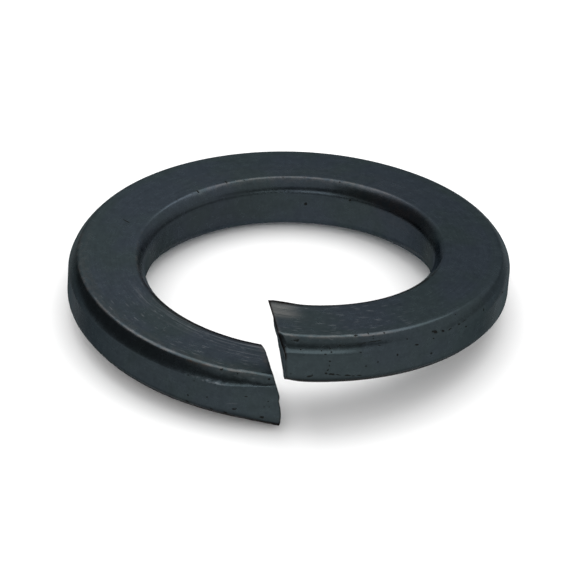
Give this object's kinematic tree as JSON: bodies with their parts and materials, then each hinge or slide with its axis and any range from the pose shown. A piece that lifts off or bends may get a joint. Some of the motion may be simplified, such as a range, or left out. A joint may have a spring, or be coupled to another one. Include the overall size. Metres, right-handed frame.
{
  "type": "split spring lock washer",
  "caption": "Left-hand helical spring lock washer of bevelled black-oxide steel wire, with a slanted shear-cut split, to hold a large bolt or nut tight.",
  "frame": {"origin": "on the bore axis, level with the underside of the lower end", "axes": "+Z along the bore axis, from the lower end of the coil to the upper one; -Y towards the split"},
  "size_m": [0.0344, 0.0344, 0.0078],
  "materials": {
    "oxide_steel": "blue-black oxide on spring steel, satin, with bright rubbed edges"
  },
  "bodies": {
    "root": {"lock_washer": "oxide_steel"}
  },
  "joints": []
}
